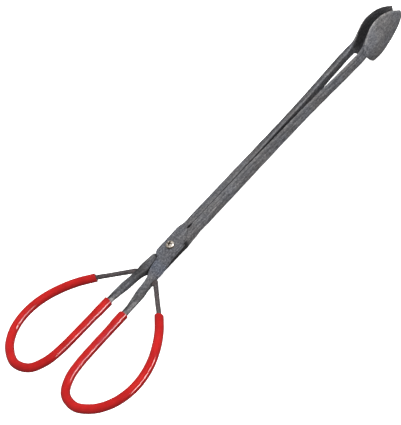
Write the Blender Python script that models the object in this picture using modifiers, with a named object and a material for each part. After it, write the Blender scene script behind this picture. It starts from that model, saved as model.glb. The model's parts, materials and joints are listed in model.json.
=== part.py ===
"""Long scissor-pivot tongs: two forged arms with spoon jaws, crossed on one screw.

Each arm is a single forging that runs from a spoon-shaped jaw through a square rein
and a half-lapped boss to a short tang.  A bent round rod is welded to the tang's end
and back onto the tang's side, and makes the finger loop.  A plastic sleeve covers the
loop.  The lower arm is made the same way and turned half a turn about the tongs' long
axis; the two forgings differ a little at the heel and in the length of the jaw.

All dimensions are in millimetres, measured from the pivot: +Y towards the jaws,
+Z along the screw towards its head, +X to the upper arm's finger loop.
"""
import math

import bmesh
import bpy
from mathutils import Matrix, Vector

MM = 0.001
GAP = 0.3                      # air kept between pieces that touch

# Where the pivot sits, so that the whole part stands centred on the origin.
PIVOT_Y = -82.2
PIVOT_Z = 20.0

# Pivot boss and its hardware
BOSS_THICKNESS = 3.8           # each arm's share of the lap
BOSS_HALF_WIDTH = 9.3
LAP_GAP = 0.4                  # sideways room between a boss's edge and the other's shoulder
BORE_RADIUS = 2.15
SHANK_RADIUS = 1.95
HEAD_RADIUS = 3.8
HEAD_HEIGHT = 3.2
HEAD_RIM = 1.3                 # straight side of the head, under its dome
RECESS_LENGTH = 4.4
RECESS_WIDTH = 0.9
RECESS_DEPTH = 1.7
RECESS_TURN = math.radians(20.0)
WASHER_RADIUS = 4.5
WASHER_THICKNESS = 0.8
NUT_ACROSS_FLATS = 7.0
NUT_HEIGHT = 3.2
THREAD_STANDOUT = 0.9          # screw end beyond the nut

# Rein, the long square bar between boss and jaw
REIN_WIDTH_AT_JAW = 6.4
REIN_HALF_HEIGHT = 4.0
REIN_EDGE = 0.9                # forged edge radius

# Spoon jaw
JAW_START = 259.0
JAW_TIP = 325.4
JAW_GAP = 4.9                  # rim's distance from the middle plane, jaws as drawn
JAW_WALL = 1.4
JAW_DEPTH = 5.6

# Tang, the stub behind the boss that the loop rod is welded to
TANG_END = -80.8
TANG_RADIUS = 2.9
BUTT_WELD_LENGTH = 1.0
BUTT_WELD_RADIUS = 2.5

# Finger loop
ROD_RADIUS = 2.2
SLEEVE_RADIUS = 4.1
SLEEVE_MOUTH_RADIUS = 4.4      # swollen where the sleeve is stretched over the tang
SLEEVE_SWELL_LENGTH = 8.0
PATH_STEP = 4.5
ROD_SIDES = 12
SLEEVE_SIDES = 16

# The loop's centre line, from the weld on the tang's side round to the tang's end.
LOOP_BARE = [(13.4, -35.0), (20.6, -41.2), (30.4, -49.6), (40.2, -57.9)]
LOOP_COVERED = [(52.3, -70.3), (61.8, -84.0), (68.4, -98.3), (71.4, -113.0),
                (70.5, -127.2), (65.4, -140.6), (55.2, -152.2), (40.0, -159.2),
                (24.4, -155.6), (15.8, -143.2), (12.7, -128.0), (11.9, -108.0)]
LOOP_TANG = [(11.7, -90.0), (11.4, -80.0)]
UPPER_SLEEVE_MOUTH = -73.0     # where each sleeve's mouth has settled on its tang
LOWER_SLEEVE_MOUTH = -69.6
WELD_SPOT = (13.0, -35.4)
WELD_REACH = (2.7, 3.7, 2.8)


def millimetres(x, y, z=0.0):
    """A point given in millimetres from the pivot, as a vector in metres."""
    return Vector((x, y, z)) * MM


def collection(name):
    """A new collection in the scene."""
    made = bpy.data.collections.new(name)
    bpy.context.scene.collection.children.link(made)
    return made


def clear_scene():
    for item in list(bpy.data.objects):
        bpy.data.objects.remove(item, do_unlink=True)
    for item in list(bpy.data.collections):
        bpy.data.collections.remove(item)


def material(name, colour, roughness, metallic):
    made = bpy.data.materials.new(name)
    made.use_nodes = True
    surface = made.node_tree.nodes["Principled BSDF"]
    surface.inputs["Base Color"].default_value = (*colour, 1.0)
    surface.inputs["Roughness"].default_value = roughness
    surface.inputs["Metallic"].default_value = metallic
    made.diffuse_color = (*colour, 1.0)
    return made


def new_object(name, mesh, target, finish=None, smooth=False):
    """An object with its origin on the pivot axis."""
    made = bpy.data.objects.new(name, mesh)
    target.objects.link(made)
    made.location = millimetres(0.0, PIVOT_Y, PIVOT_Z)
    if finish:
        mesh.materials.clear()
        mesh.materials.append(finish)
    if smooth:
        mesh.shade_smooth()
    return made


def half_turn(mesh):
    """Turn a mesh half a turn about the tongs' long axis, for the lower arm."""
    mesh.transform(Matrix.Rotation(math.pi, 4, "Y"))
    return mesh


def cut(body, cutter):
    """Take a cutter away from a body, and keep the cutter out of sight."""
    cutter.hide_render = True
    cutter.display_type = "WIRE"
    step = body.modifiers.new("cut_" + cutter.name, "BOOLEAN")
    step.operation = "DIFFERENCE"
    step.solver = "EXACT"
    step.object = cutter
    return step


# ---------------------------------------------------------------- arm forging

def blend(stations, y):
    """Read a value at y from (y, value) stations, easing between them without overshoot."""
    if y <= stations[0][0]:
        return stations[0][1]
    if y >= stations[-1][0]:
        return stations[-1][1]
    rises = [(b[1] - a[1]) / (b[0] - a[0]) for a, b in zip(stations, stations[1:])]
    slopes = [rises[0]]
    for before, after in zip(rises, rises[1:]):
        same_way = before * after > 0.0
        slopes.append(2.0 * before * after / (before + after) if same_way else 0.0)
    slopes.append(rises[-1])
    for index, (a, b) in enumerate(zip(stations, stations[1:])):
        if y <= b[0]:
            span = b[0] - a[0]
            t = (y - a[0]) / span
            start = (1.0 + 2.0 * t) * (1.0 - t) ** 2 * a[1]
            leave = t * (1.0 - t) ** 2 * span * slopes[index]
            end = t * t * (3.0 - 2.0 * t) * b[1]
            arrive = t * t * (t - 1.0) * span * slopes[index + 1]
            return start + leave + end + arrive
    return stations[-1][1]


# Outlines of the upper arm seen along the screw: its outer side is +X at the tang,
# crosses over at the boss, and is -X at the rein and jaw.
REIN_GAP = [(28.0, 0.2), (92.0, 0.2), (112.0, 0.4), (140.0, 0.95), (175.0, 1.5), (203.0, 2.4),
            (226.0, 3.4), (249.0, 4.3), (276.0, JAW_GAP)]
REIN_OUTSIDE = [(28.0, 7.7), (40.0, 8.0), (140.0, 7.8), (175.0, 8.1), (203.0, 8.95),
                (226.0, 9.9), (249.0, 10.75), (JAW_START, 10.95)]
TANG_SIDE = [(TANG_END, 11.4 + TANG_RADIUS), (-70.0, 11.3 + TANG_RADIUS), (-60.0, 13.9),
             (-50.0, 13.3), (-42.0, 11.9)]
UPPER_FLANK = [(-35.0, 11.6), (-28.0, 12.9), (-23.0, 12.5), (-16.0, 11.0)]
LOWER_FLANK = [(-35.0, 11.4), (-28.0, 11.8), (-23.0, 11.6), (-16.0, 10.8)]
BOSS_SIDE = [(-10.0, 9.8), (0.0, 9.1), (8.0, 8.6), (12.0, 7.3), (16.5, 4.9), (20.0, 1.9),
             (22.5, -0.7), (24.3, -1.0), (28.0, -REIN_GAP[0][1])]
CROTCH_SIDE = [(TANG_END, 11.4 - TANG_RADIUS), (-70.0, 11.3 - TANG_RADIUS), (-60.0, 7.0),
               (-50.0, 5.4), (-42.0, 4.7), (-35.0, 3.6), (-30.5, 1.5)]
UPPER_HEEL = [(-27.0, 0.2), (-21.0, -1.3), (-15.2, -3.0), (-13.6, -5.2), (-12.0, -7.6),
              (-8.0, -BOSS_HALF_WIDTH)]
LOWER_HEEL = [(-28.4, -0.6), (-27.2, -4.2), (-26.0, -7.4), (-22.0, -8.9),
              (-12.0, -BOSS_HALF_WIDTH)]
UPPER_SHOULDER = [(18.0, -BOSS_HALF_WIDTH), (24.0, -7.9), (28.0, -REIN_OUTSIDE[0][1])]
LOWER_SHOULDER = [(8.0, -BOSS_HALF_WIDTH), (17.0, -8.5), (28.0, -REIN_OUTSIDE[0][1])]
UPPER_UNDERSIDE = [(-60.0, -3.0), (-40.0, -2.8), (-33.5, -2.0), (-30.0, GAP / 2.0),
                   (3.0, GAP / 2.0), (5.0, -BOSS_THICKNESS), (18.0, -BOSS_THICKNESS),
                   (30.0, -REIN_HALF_HEIGHT)]
LOWER_UNDERSIDE = [(-60.0, -3.0), (-40.0, -2.8), (-30.0, -2.3), (-12.0, -2.1), (-8.0, GAP / 2.0),
                   (3.0, GAP / 2.0), (5.0, -BOSS_THICKNESS), (18.0, -BOSS_THICKNESS),
                   (30.0, -REIN_HALF_HEIGHT)]
TOPSIDE = [(-60.0, 3.0), (-40.0, 3.1), (-28.0, BOSS_THICKNESS), (18.0, BOSS_THICKNESS),
           (24.0, 3.9), (30.0, REIN_HALF_HEIGHT)]
EDGE = [(TANG_END, TANG_RADIUS * 0.98), (-68.0, 2.6), (-55.0, 1.9), (-36.0, 1.1), (-28.0, 0.7),
        (2.0, 0.7), (8.0, 0.4), (22.0, 0.4), (30.0, REIN_EDGE), (JAW_START, REIN_EDGE),
        (272.0, 0.6)]

# How each lap's recess ends on the loop side: straight across, or along the other heel,
# from which it draws away towards the crotch.
UPPER_LAP_FOOT = [(20.0, 2.0), (-14.0, 2.0)]
LOWER_LAP_FOOT = [(20.0, -13.0), (8.0, -12.4), (5.7, -14.1), (3.6, -15.8), (2.9, -18.4),
                  (2.4, -21.4), (2.1, -24.4), (1.6, -27.4), (1.2, -30.0), (-14.0, -30.0)]

# Jaw outline: how far the spoon's two edges reach from the rein's middle, how thick its
# wall is, and how far its bowl is bowed out.
SQUARE_SHOULDER = [(JAW_START, REIN_HALF_HEIGHT), (264.0, 4.6), (268.0, 8.6), (272.0, 15.6),
                   (275.5, 18.8), (283.0, 20.0), (291.0, 19.6), (299.0, 18.1), (307.0, 15.8),
                   (314.0, 12.9), (319.0, 10.2), (323.0, 7.2), (JAW_TIP, 4.6)]
SLOPED_SHOULDER = [(JAW_START, REIN_HALF_HEIGHT), (265.0, 5.2), (270.0, 7.8), (275.0, 11.4),
                   (279.0, 14.4), (283.0, 16.5), (290.0, 18.2), (297.0, 17.8), (305.0, 15.7),
                   (312.0, 12.5), (317.5, 9.1), (322.0, 5.7), (JAW_TIP, 3.1)]
JAW_THICKNESS = [(JAW_START, REIN_WIDTH_AT_JAW), (265.0, 4.6), (271.0, 2.4), (279.0, JAW_WALL)]
JAW_BOW = [(JAW_START, 0.0), (264.0, 1.4), (271.0, 3.8), (284.0, JAW_DEPTH), (296.0, 5.2),
           (309.0, 3.5), (318.0, 1.6), (JAW_TIP, 0.5)]

# What differs between the two forgings, before the lower one is turned over.
UPPER_FORM = {"side": TANG_SIDE + UPPER_FLANK + BOSS_SIDE, "heel": UPPER_HEEL,
              "shoulder": UPPER_SHOULDER, "underside": UPPER_UNDERSIDE,
              "lap_foot": UPPER_LAP_FOOT, "low_edge": SQUARE_SHOULDER,
              "high_edge": SLOPED_SHOULDER, "jaw_stretch": 1.035}
LOWER_FORM = {"side": TANG_SIDE + LOWER_FLANK + BOSS_SIDE, "heel": LOWER_HEEL,
              "shoulder": LOWER_SHOULDER, "underside": LOWER_UNDERSIDE,
              "lap_foot": LOWER_LAP_FOOT, "low_edge": SLOPED_SHOULDER,
              "high_edge": SQUARE_SHOULDER, "jaw_stretch": 1.0}

CORNER_STEPS = 3
SIDE_STEPS = 8
FLAT_STEPS = 2


def arm_section(y, form):
    """The upper arm's cross-section at y: left, right, low, high, edge radius and bow."""
    edge = blend(EDGE, y)
    if y < 28.0:
        return (blend(CROTCH_SIDE + form["heel"] + form["shoulder"], y),
                blend(form["side"], y),
                blend(form["underside"], y), blend(TOPSIDE, y), edge, 0.0)
    inner = -blend(REIN_GAP, y)
    if y < JAW_START:
        return (-blend(REIN_OUTSIDE, y), inner, blend(form["underside"], y),
                blend(TOPSIDE, y), edge, 0.0)
    return (inner - blend(JAW_THICKNESS, y), inner, -blend(form["low_edge"], y),
            blend(form["high_edge"], y), edge, blend(JAW_BOW, y))


def section_ring(y, form):
    """Points round the cross-section at y: a rectangle with round corners, bowed to -X."""
    left, right, low, high, edge, bow = arm_section(y, form)
    place_y = y if y < JAW_START else JAW_START + (y - JAW_START) * form["jaw_stretch"]
    edge = min(edge, 0.49 * (right - left), 0.49 * (high - low))
    middle = (low + high) / 2.0
    half = (high - low) / 2.0
    corners = [(right - edge, low + edge, -90.0), (right - edge, high - edge, 0.0),
               (left + edge, high - edge, 90.0), (left + edge, low + edge, 180.0)]
    ring = []
    for index, (x, z, start) in enumerate(corners):
        for step in range(CORNER_STEPS + 1):
            angle = math.radians(start + 90.0 * step / CORNER_STEPS)
            ring.append((x + edge * math.cos(angle), z + edge * math.sin(angle)))
        next_x, next_z, next_start = corners[(index + 1) % 4]
        angle = math.radians(next_start)
        end = (next_x + edge * math.cos(angle), next_z + edge * math.sin(angle))
        start_point = ring[-1]
        steps = SIDE_STEPS if index % 2 == 0 else FLAT_STEPS
        for step in range(1, steps):
            t = step / steps
            ring.append((start_point[0] + (end[0] - start_point[0]) * t,
                         start_point[1] + (end[1] - start_point[1]) * t))
    bowed = []
    for x, z in ring:
        across = (z - middle) / half
        bowed.append(millimetres(x - bow * (1.0 - across * across), place_y, z))
    return bowed


def arm_stations():
    """Where along the arm a cross-section is taken: closer together where it changes."""
    spacing = [(TANG_END, -40.0, 6), (-40.0, -30.0, 5), (-30.0, -24.0, 6), (-24.0, -16.0, 3),
               (-16.0, -11.0, 5), (-11.0, 3.0, 4), (3.0, 5.0, 1), (5.0, 8.0, 1),
               (8.0, 20.0, 5), (20.0, 30.0, 7), (30.0, 95.0, 2), (95.0, 180.0, 4),
               (180.0, JAW_START, 7), (JAW_START, 286.0, 14), (286.0, 318.0, 8),
               (318.0, JAW_TIP, 5)]
    stations = [TANG_END]
    for start, end, steps in spacing:
        stations += [start + (end - start) * step / steps for step in range(1, steps + 1)]
    return stations


def arm_mesh(name, form):
    """Loft the arm through its cross-sections and close both ends."""
    shape = bmesh.new()
    rings = []
    for y in arm_stations():
        rings.append([shape.verts.new(point) for point in section_ring(y, form)])
    count = len(rings[0])
    for near, far in zip(rings, rings[1:]):
        for index in range(count):
            following = (index + 1) % count
            shape.faces.new((near[index], near[following], far[following], far[index]))
    shape.faces.new(rings[0])
    shape.faces.new(rings[-1])
    bmesh.ops.recalc_face_normals(shape, faces=shape.faces)
    mesh = bpy.data.meshes.new(name)
    shape.to_mesh(mesh)
    shape.free()
    return mesh


def lap_cutter_mesh(name, form):
    """Room for the other arm's boss: a block below the lap face, whose slanted side
    follows that boss's edge a gap away, so that the shoulders of the lap nest."""
    seam = [(-blend(BOSS_SIDE, y) - LAP_GAP, y)
            for y in (8.0, 10.0, 12.0, 14.0, 16.5, 18.5, 20.0, 21.3, 22.5)]
    outline = [(-14.0, 6.6)] + seam + [(20.0, 22.5)] + form["lap_foot"]
    shape = bmesh.new()
    low = [shape.verts.new(millimetres(x, y, -20.0)) for x, y in outline]
    high = [shape.verts.new(millimetres(x, y, GAP / 2.0 + 0.02)) for x, y in outline]
    shape.faces.new(low)
    shape.faces.new(high)
    for index in range(len(outline)):
        following = (index + 1) % len(outline)
        shape.faces.new((low[index], low[following], high[following], high[index]))
    bmesh.ops.recalc_face_normals(shape, faces=shape.faces)
    mesh = bpy.data.meshes.new(name)
    shape.to_mesh(mesh)
    shape.free()
    return mesh


def cylinder_cutter(name, radius, length, target, sides=32):
    bpy.ops.mesh.primitive_cylinder_add(vertices=sides, radius=radius * MM, depth=length * MM,
                                        location=millimetres(0.0, PIVOT_Y, PIVOT_Z))
    made = bpy.context.object
    made.name = name
    move_to(made, target)
    return made


def move_to(item, target):
    for owner in list(item.users_collection):
        owner.objects.unlink(item)
    target.objects.link(item)


# ---------------------------------------------------------------- finger loops

def smooth_path(points, step):
    """Points about a step apart on a smooth curve through the given ones."""
    path = []
    ends = [2.0 * Vector(points[0]) - Vector(points[1])]
    tail = [2.0 * Vector(points[-1]) - Vector(points[-2])]
    known = ends + [Vector(point) for point in points] + tail
    for before, start, end, after in zip(known, known[1:], known[2:], known[3:]):
        pieces = max(1, round((end - start).length / step))
        for piece in range(pieces):
            t = piece / pieces
            path.append(0.5 * (2.0 * start + (end - before) * t
                               + (2.0 * before - 5.0 * start + 4.0 * end - after) * t ** 2
                               + (3.0 * start - before - 3.0 * end + after) * t ** 3))
    path.append(Vector(points[-1]))
    return path


def lengthen(path, start, end):
    """Run a path on past its first and last points."""
    first = path[0] + (path[0] - path[1]).normalized() * start
    last = path[-1] + (path[-1] - path[-2]).normalized() * end
    return [first] + path + [last]


def swept_mesh(name, path, radii, sides):
    """A solid round bar along a flat path, from a bevelled curve with filled caps."""
    curve = bpy.data.curves.new(name, "CURVE")
    curve.dimensions = "3D"
    curve.bevel_depth = MM
    curve.bevel_resolution = sides // 2 - 2
    curve.use_fill_caps = True
    spline = curve.splines.new("POLY")
    spline.points.add(len(path) - 1)
    for point, spot, radius in zip(spline.points, path, radii):
        point.co = (*millimetres(spot.x, spot.y), 1.0)
        point.radius = radius
    holder = bpy.data.objects.new(name + "_curve", curve)
    bpy.context.scene.collection.objects.link(holder)
    bpy.context.view_layer.update()
    seen = holder.evaluated_get(bpy.context.evaluated_depsgraph_get())
    mesh = bpy.data.meshes.new_from_object(seen)
    mesh.name = name
    mesh.transform(holder.matrix_world)
    bpy.data.objects.remove(holder, do_unlink=True)
    welded = bmesh.new()
    welded.from_mesh(mesh)
    bmesh.ops.remove_doubles(welded, verts=welded.verts, dist=0.00001)
    bmesh.ops.recalc_face_normals(welded, faces=welded.faces)
    welded.to_mesh(mesh)
    welded.free()
    return mesh


def rod_mesh(name):
    """The loop rod, from its weld on the tang's side to its weld on the tang's end."""
    end = TANG_END - 2.0 * GAP - BUTT_WELD_LENGTH
    path = smooth_path(LOOP_BARE + LOOP_COVERED + [LOOP_TANG[0], (11.4, end)], PATH_STEP)
    return swept_mesh(name, path, [ROD_RADIUS] * len(path), ROD_SIDES)


def mouth_share(spot):
    """How far the sleeve has swollen over the tang: 0 on the rod, 1 over the tang."""
    full = TANG_END - 2.0 * GAP
    share = (spot.y - full + SLEEVE_SWELL_LENGTH) / SLEEVE_SWELL_LENGTH
    share = min(max(share, 0.0), 1.0) if spot.x < 20.0 else 0.0
    return share * share * (3.0 - 2.0 * share)


def sleeve_path(mouth):
    ends = LOOP_TANG + [(11.3, mouth)]
    return smooth_path([LOOP_BARE[-1]] + LOOP_COVERED + ends, PATH_STEP)


def sleeve_mesh(name, mouth):
    path = sleeve_path(mouth)
    swell = SLEEVE_MOUTH_RADIUS - SLEEVE_RADIUS
    radii = [SLEEVE_RADIUS + swell * mouth_share(spot) for spot in path]
    return swept_mesh(name, path, radii, SLEEVE_SIDES)


def sleeve_bore_mesh(name, mouth):
    path = lengthen(sleeve_path(mouth), 2.0, 2.0)
    rod_bore = ROD_RADIUS + GAP
    tang_bore = TANG_RADIUS + GAP + 0.1
    radii = [rod_bore + (tang_bore - rod_bore) * mouth_share(spot) for spot in path]
    return swept_mesh(name, path, radii, ROD_SIDES)


def butt_weld_mesh(name):
    """The ground-flush weld between the tang's end and the rod's end."""
    shape = bmesh.new()
    bmesh.ops.create_cone(shape, cap_ends=True, segments=16, radius1=BUTT_WELD_RADIUS * MM,
                          radius2=BUTT_WELD_RADIUS * MM, depth=BUTT_WELD_LENGTH * MM)
    centre = millimetres(11.4, TANG_END - GAP - BUTT_WELD_LENGTH / 2.0)
    bmesh.ops.rotate(shape, verts=shape.verts, matrix=Matrix.Rotation(math.pi / 2.0, 3, "X"))
    bmesh.ops.translate(shape, verts=shape.verts, vec=centre)
    mesh = bpy.data.meshes.new(name)
    shape.to_mesh(mesh)
    shape.free()
    return mesh


def weld_blob_mesh(name):
    """The rounded lump of the weld on the tang's side, before its clearances are cut."""
    shape = bmesh.new()
    bmesh.ops.create_uvsphere(shape, u_segments=20, v_segments=12, radius=MM)
    bmesh.ops.scale(shape, verts=shape.verts, vec=Vector(WELD_REACH))
    bmesh.ops.translate(shape, verts=shape.verts, vec=millimetres(*WELD_SPOT))
    mesh = bpy.data.meshes.new(name)
    shape.to_mesh(mesh)
    shape.free()
    return mesh


def weld_rod_bore_mesh(name):
    """Clearance for the rod through its weld."""
    path = lengthen(smooth_path(LOOP_BARE[:2], PATH_STEP), 6.0, 0.0)
    return swept_mesh(name, path, [ROD_RADIUS + GAP] * len(path), SLEEVE_SIDES)


def weld_tang_cut_mesh(name, form):
    """Clearance for the tang's side under the weld: a block that ends a gap outside it."""
    side = max(blend(form["side"], WELD_SPOT[1] + reach)
               for reach in (-4.4, -2.2, 0.0, 2.2, 4.4))
    size = 20.0
    shape = bmesh.new()
    bmesh.ops.create_cube(shape, size=size * MM)
    centre = millimetres(side + GAP - size / 2.0, WELD_SPOT[1])
    bmesh.ops.translate(shape, verts=shape.verts, vec=centre)
    mesh = bpy.data.meshes.new(name)
    shape.to_mesh(mesh)
    shape.free()
    return mesh


# ---------------------------------------------------------------- pivot hardware

def turned(name, profile, target, finish, steps=32, ring=False):
    """A solid, or a ring, turned about the screw's axis from (radius, height) points."""
    mesh = bpy.data.meshes.new(name)
    points = [millimetres(radius, 0.0, height) for radius, height in profile]
    edges = [(index, index + 1) for index in range(len(points) - 1)]
    if ring:
        edges.append((len(points) - 1, 0))
    mesh.from_pydata(points, edges, [])
    made = new_object(name, mesh, target, finish)
    lathe = made.modifiers.new("lathe", "SCREW")
    lathe.axis = "Z"
    lathe.steps = steps
    lathe.render_steps = steps
    lathe.use_merge_vertices = True
    lathe.merge_threshold = 0.00001
    lathe.use_smooth_shade = True
    return made


def screw_profile():
    """Pan head and plain shank, from the top of the dome down to the end's chamfer."""
    seat = BOSS_THICKNESS + GAP
    top = seat + HEAD_HEIGHT
    end = nut_bottom() - THREAD_STANDOUT
    dome = []
    for angle in range(0, 91, 15):
        turn = math.radians(angle)
        dome.append((HEAD_RADIUS * math.sin(turn),
                     seat + HEAD_RIM + (HEAD_HEIGHT - HEAD_RIM) * math.cos(turn)))
    dome[0] = (0.0, top)
    shank = [(HEAD_RADIUS, seat), (SHANK_RADIUS, seat), (SHANK_RADIUS, end + 0.4),
             (SHANK_RADIUS - 0.4, end), (0.0, end)]
    return dome + shank


def nut_top():
    return -BOSS_THICKNESS - GAP - WASHER_THICKNESS - GAP


def nut_bottom():
    return nut_top() - NUT_HEIGHT


def recess_mesh(name, turn):
    """One bar of the head's cross recess, narrowing towards the bottom."""
    top = BOSS_THICKNESS + GAP + HEAD_HEIGHT + 0.5
    depth = RECESS_DEPTH + 0.5
    shape = bmesh.new()
    bmesh.ops.create_cube(shape, size=1.0)
    for vert in shape.verts:
        narrow = 1.0 if vert.co.z > 0.0 else 0.45
        vert.co = millimetres(vert.co.x * RECESS_LENGTH * narrow,
                              vert.co.y * RECESS_WIDTH * (0.5 + 0.5 * narrow),
                              vert.co.z * depth + top - depth / 2.0)
    bmesh.ops.rotate(shape, verts=shape.verts, matrix=Matrix.Rotation(turn, 3, "Z"))
    mesh = bpy.data.meshes.new(name)
    shape.to_mesh(mesh)
    shape.free()
    return mesh


def nut_mesh(name):
    """A hexagon prism between the washer and the screw's end, before its bore is cut."""
    shape = bmesh.new()
    corner = NUT_ACROSS_FLATS / math.sqrt(3.0) * MM
    bmesh.ops.create_cone(shape, cap_ends=True, segments=6, radius1=corner, radius2=corner,
                          depth=NUT_HEIGHT * MM)
    bmesh.ops.translate(shape, verts=shape.verts,
                        vec=millimetres(0.0, 0.0, nut_top() - NUT_HEIGHT / 2.0))
    mesh = bpy.data.meshes.new(name)
    shape.to_mesh(mesh)
    shape.free()
    return mesh


def nut_crown_mesh(name):
    """A cone that takes the nut's sharp corners off at its free face."""
    shape = bmesh.new()
    corner = NUT_ACROSS_FLATS / math.sqrt(3.0)
    bmesh.ops.create_cone(shape, cap_ends=True, segments=32,
                          radius1=(corner - 0.45) * MM, radius2=(corner + 3.0) * MM,
                          depth=NUT_HEIGHT * 1.8 * MM)
    bmesh.ops.translate(shape, verts=shape.verts,
                        vec=millimetres(0.0, 0.0, nut_bottom() + NUT_HEIGHT * 0.9 - 0.001))
    mesh = bpy.data.meshes.new(name)
    shape.to_mesh(mesh)
    shape.free()
    return mesh


# ---------------------------------------------------------------- assembly

def build_arm(side, turned_over, parts, cutters, finishes):
    """One arm with its loop rod, welds and sleeve; the lower one is turned over."""
    def place(mesh):
        return half_turn(mesh) if turned_over else mesh

    form = LOWER_FORM if turned_over else UPPER_FORM
    arm = new_object(side + "_arm", place(arm_mesh(side + "_arm", form)), parts,
                     finishes["forged"])
    lap_name = side + "_lap_cutter"
    cut(arm, new_object(lap_name, place(lap_cutter_mesh(lap_name, form)), cutters))
    cut(arm, cylinder_cutter(side + "_bore_cutter", BORE_RADIUS, 20.0, cutters))

    rod = place(rod_mesh(side + "_loop_rod"))
    new_object(side + "_loop_rod", rod, parts, finishes["rod"], smooth=True)

    weld = new_object(side + "_return_weld", place(weld_blob_mesh(side + "_return_weld")),
                      parts, finishes["weld"], smooth=True)
    rod_room = side + "_weld_rod_cutter"
    cut(weld, new_object(rod_room, place(weld_rod_bore_mesh(rod_room)), cutters))
    tang_room = side + "_weld_tang_cutter"
    cut(weld, new_object(tang_room, place(weld_tang_cut_mesh(tang_room, form)), cutters))

    butt = place(butt_weld_mesh(side + "_butt_weld"))
    new_object(side + "_butt_weld", butt, parts, finishes["weld"])

    mouth = LOWER_SLEEVE_MOUTH if turned_over else UPPER_SLEEVE_MOUTH
    tube = place(sleeve_mesh(side + "_grip_sleeve", mouth))
    sleeve = new_object(side + "_grip_sleeve", tube, parts, finishes["sleeve"], smooth=True)
    name = side + "_sleeve_bore_cutter"
    cut(sleeve, new_object(name, place(sleeve_bore_mesh(name, mouth)), cutters))


def build_pivot(parts, cutters, finishes):
    """The screw through both bosses, with a washer and a nut under the lower one."""
    screw = turned("pivot_screw", screw_profile(), parts, finishes["plated"])
    for label, turn in (("long", RECESS_TURN), ("cross", RECESS_TURN + math.pi / 2.0)):
        name = "recess_" + label + "_cutter"
        cut(screw, new_object(name, recess_mesh(name, turn), cutters))

    top = -BOSS_THICKNESS - GAP
    bottom = top - WASHER_THICKNESS
    hole = SHANK_RADIUS + GAP
    outline = [(hole, top), (WASHER_RADIUS, top), (WASHER_RADIUS, bottom), (hole, bottom)]
    turned("pivot_washer", outline, parts, finishes["plated"], ring=True)

    nut = new_object("pivot_nut", nut_mesh("pivot_nut"), parts, finishes["plated"])
    crown = nut.modifiers.new("crown", "BOOLEAN")
    crown.operation = "INTERSECT"
    crown.solver = "EXACT"
    crown.object = new_object("nut_crown_cutter", nut_crown_mesh("nut_crown_cutter"), cutters)
    crown.object.hide_render = True
    crown.object.display_type = "WIRE"
    cut(nut, cylinder_cutter("nut_bore_cutter", SHANK_RADIUS + GAP, 40.0, cutters))


def main():
    clear_scene()
    parts = collection("long_spoon_tongs")
    cutters = collection("cutters")
    finishes = {
        "forged": material("forged_steel", (0.16, 0.16, 0.17), 0.55, 0.85),
        "rod": material("drawn_steel", (0.15, 0.13, 0.13), 0.5, 0.85),
        "weld": material("weld_metal", (0.12, 0.10, 0.11), 0.6, 0.8),
        "sleeve": material("red_sleeve", (0.75, 0.03, 0.03), 0.25, 0.0),
        "plated": material("plated_steel", (0.80, 0.76, 0.68), 0.2, 1.0),
    }
    build_arm("top", False, parts, cutters, finishes)
    build_arm("bottom", True, parts, cutters, finishes)
    build_pivot(parts, cutters, finishes)


main()
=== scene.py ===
import json
import math

import bmesh
import bpy
from mathutils import Matrix, Vector, noise


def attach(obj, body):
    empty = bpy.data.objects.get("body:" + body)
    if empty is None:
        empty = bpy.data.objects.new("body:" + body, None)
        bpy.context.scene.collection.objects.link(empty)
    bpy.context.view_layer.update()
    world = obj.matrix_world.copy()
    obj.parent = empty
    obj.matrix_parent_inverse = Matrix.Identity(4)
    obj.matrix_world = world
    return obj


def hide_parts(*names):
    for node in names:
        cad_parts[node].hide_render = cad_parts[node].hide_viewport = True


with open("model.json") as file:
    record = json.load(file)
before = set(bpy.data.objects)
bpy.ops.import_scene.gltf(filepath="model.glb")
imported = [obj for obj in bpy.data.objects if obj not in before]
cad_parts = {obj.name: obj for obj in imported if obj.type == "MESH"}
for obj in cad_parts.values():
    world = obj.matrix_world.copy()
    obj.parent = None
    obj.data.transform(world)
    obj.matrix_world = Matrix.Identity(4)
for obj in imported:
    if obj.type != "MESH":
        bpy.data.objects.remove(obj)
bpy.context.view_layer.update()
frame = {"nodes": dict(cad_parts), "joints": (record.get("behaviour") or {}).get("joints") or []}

# Lengths are in millimetres from the pivot unless a name says otherwise: +Y towards the
# jaws, +Z along the screw towards its head, +X to the upper arm's finger loop.  The lower
# arm's pieces are made like the upper's and turned half a turn about Y.
#
# Meshes carry shares from 0 to 1 at each point, which the finishes read: wear is rubbed
# bright, in places as painted highlight, heat is browned, blue is tempered blue, soot is
# dark, in places as painted shade, and mouth is a sleeve's end.
MM = 0.001
PIVOT = Vector(frame["joints"][0]["pos_m"])
LOWER_SEED = Vector((41.0, 17.0, 63.0))       # moves the lower arm to other noise
UPPER_SEED = Vector((0.0, 0.0, 0.0))


def smoothstep(low, high, value):
    share = min(max((value - low) / (high - low), 0.0), 1.0)
    return share * share * (3.0 - 2.0 * share)


def bell(value, centre, reach):
    return math.exp(-((value - centre) / reach) ** 2)


def new_object(name, data):
    made = bpy.data.objects.new(name, data)
    bpy.context.scene.collection.objects.link(made)
    return made


# ---------------------------------------------------------------- camera, floor and light

CAMERA_AIM = Vector((-4.48, 42.69, 0.0))
CAMERA_DISTANCE = 1026.2
CAMERA_AZIMUTH = math.radians(61.966)
CAMERA_ELEVATION = math.radians(44.963)
CAMERA_ROLL = math.radians(25.975)
CAMERA_LENS = 99.385


def toward(azimuth, elevation):
    """The direction from the object to something at that azimuth and elevation."""
    return Vector((math.sin(azimuth) * math.cos(elevation),
                   -math.cos(azimuth) * math.cos(elevation), math.sin(elevation)))


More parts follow.
